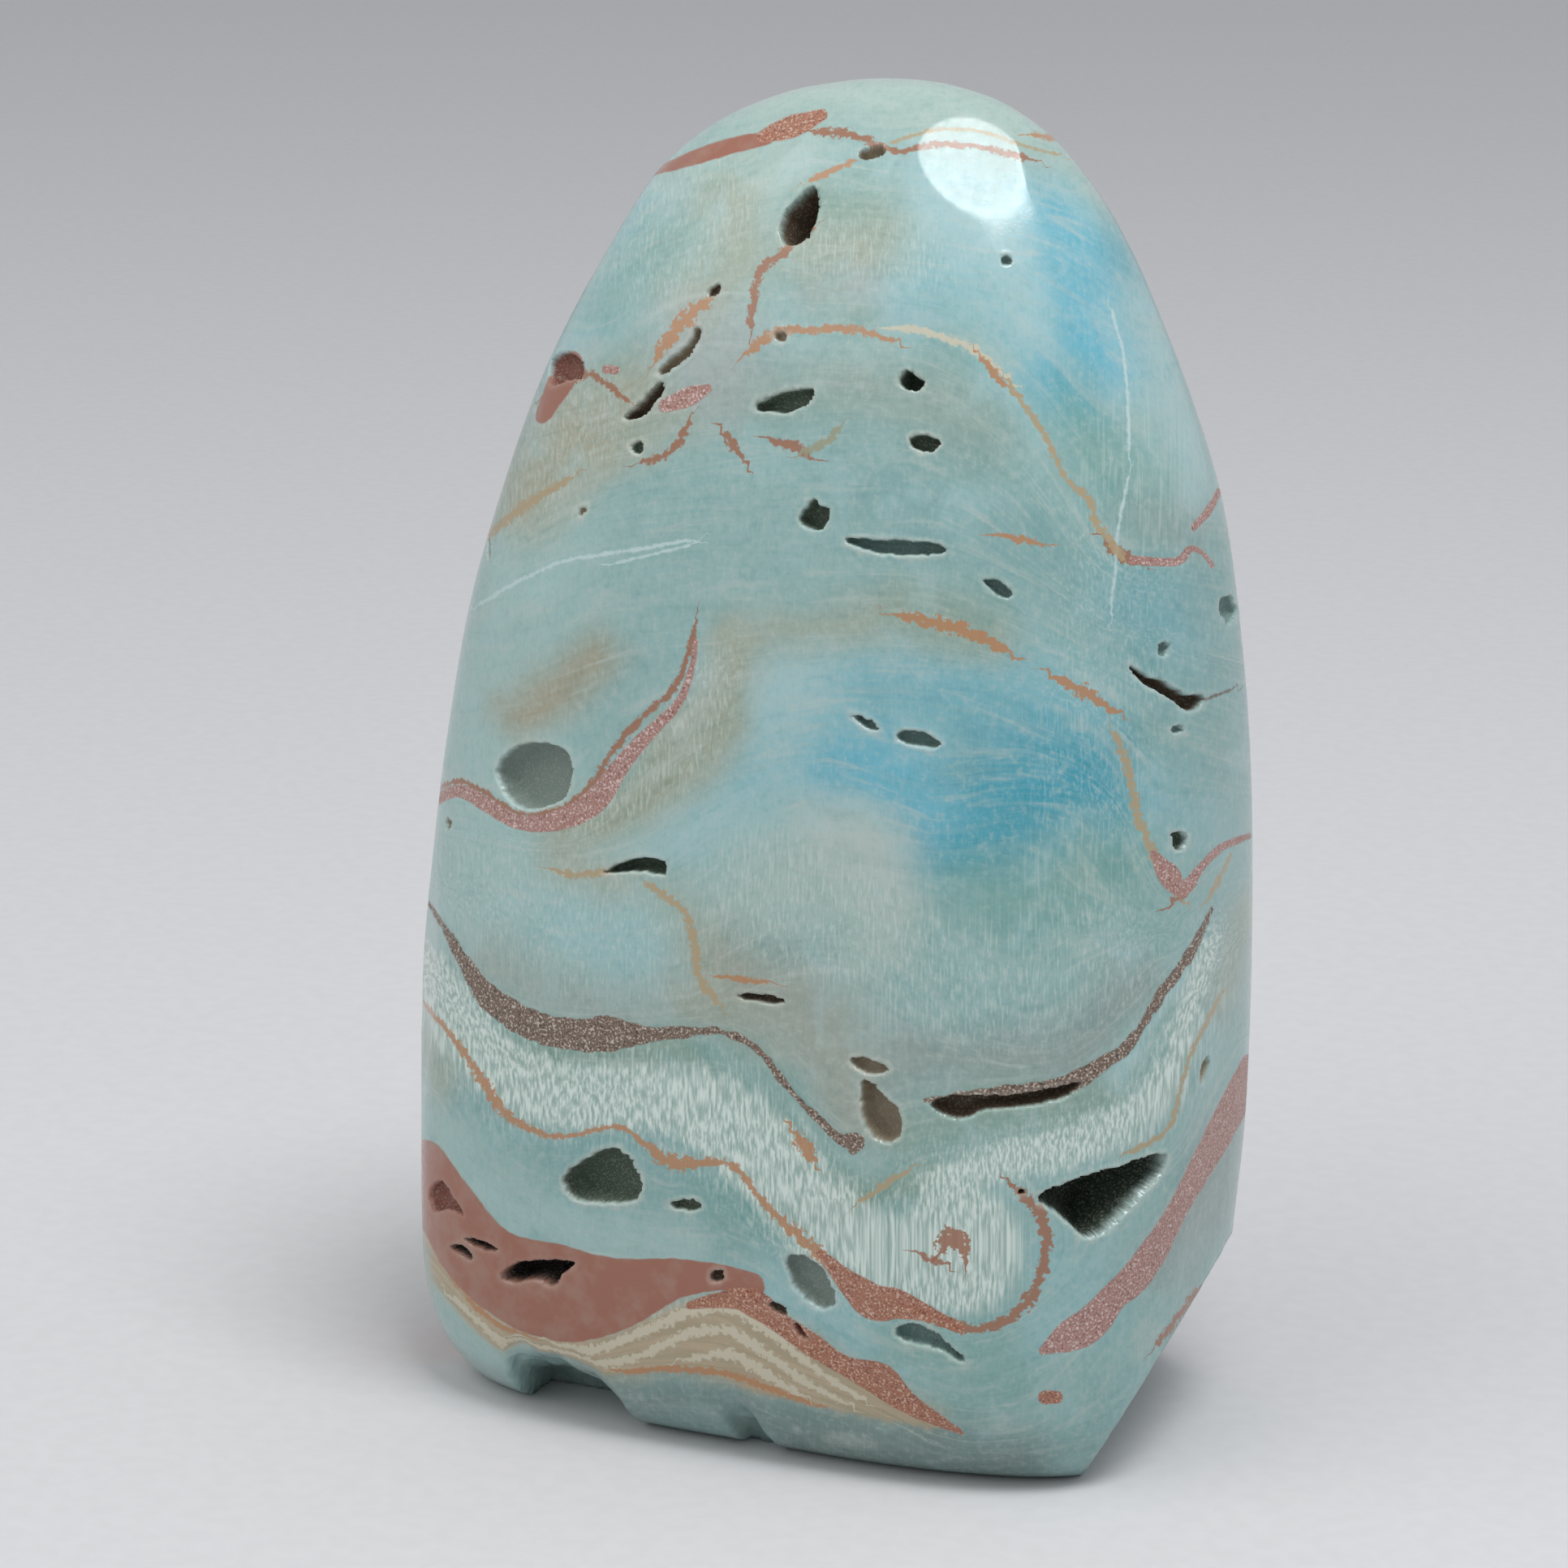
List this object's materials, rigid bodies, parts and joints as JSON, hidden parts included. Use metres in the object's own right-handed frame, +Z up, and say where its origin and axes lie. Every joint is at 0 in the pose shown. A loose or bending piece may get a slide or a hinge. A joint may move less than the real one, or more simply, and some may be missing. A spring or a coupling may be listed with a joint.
{
  "type": "polished blue calcite freeform",
  "caption": "Polished freestanding stone slab with a rounded crown, banded blue-green calcite with open pits, a broken lower corner and a flat ground foot.",
  "frame": {"origin": "middle of the stone's outline on the surface it stands on", "axes": "+Z up the stone's height, +X to its right seen from the broad front face, +Y through its thickness towards the back"},
  "size_m": [0.0717, 0.0446, 0.1145],
  "materials": {
    "polished_stone": "satin polish, waxy and slightly translucent, matt and grainy inside the pits and on the break"
  },
  "bodies": {
    "root": {"stone": "polished_stone"}
  },
  "joints": []
}
